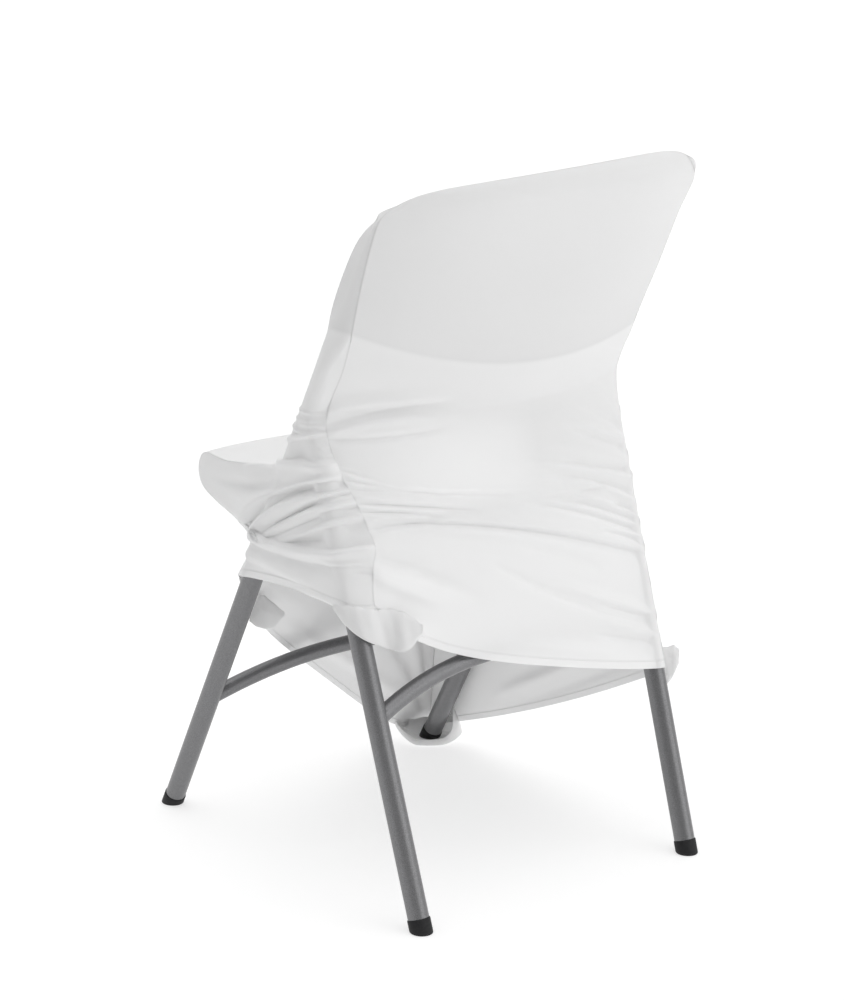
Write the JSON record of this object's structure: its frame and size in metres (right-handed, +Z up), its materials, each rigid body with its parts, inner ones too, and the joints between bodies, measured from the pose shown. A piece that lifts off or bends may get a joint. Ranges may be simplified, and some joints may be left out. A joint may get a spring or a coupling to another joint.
{
  "type": "chair cover on a chair",
  "caption": "Stretch fabric chair cover pulled over a plain tube-legged chair, rucked up round its legs so the feet and stretchers show.",
  "frame": {"origin": "middle of the whole outline, on the floor", "axes": "+Z up, the chair faces -Y, +X is its sitter's left"},
  "size_m": [0.4788, 0.5708, 0.8439],
  "materials": {
    "cloth": "white knitted stretch cloth, matt",
    "frame": "silver-grey hammer paint, satin",
    "rubber": "black, matt",
    "pad": "pale grey upholstery, matt"
  },
  "bodies": {
    "root": {"backrest_pad": "pad", "seat_pad": "pad", "chair_frame": "frame", "cap_front_left": "rubber", "cap_front_right": "rubber", "cap_rear_left": "rubber", "cap_rear_right": "rubber", "cover_back_panel": "cloth", "cover_front_panel": "cloth", "cover_left_panel": "cloth", "cover_right_panel": "cloth", "pocket_front_left": "cloth", "pocket_front_right": "cloth", "pocket_rear_left": "cloth", "pocket_rear_right": "cloth"}
  },
  "joints": []
}
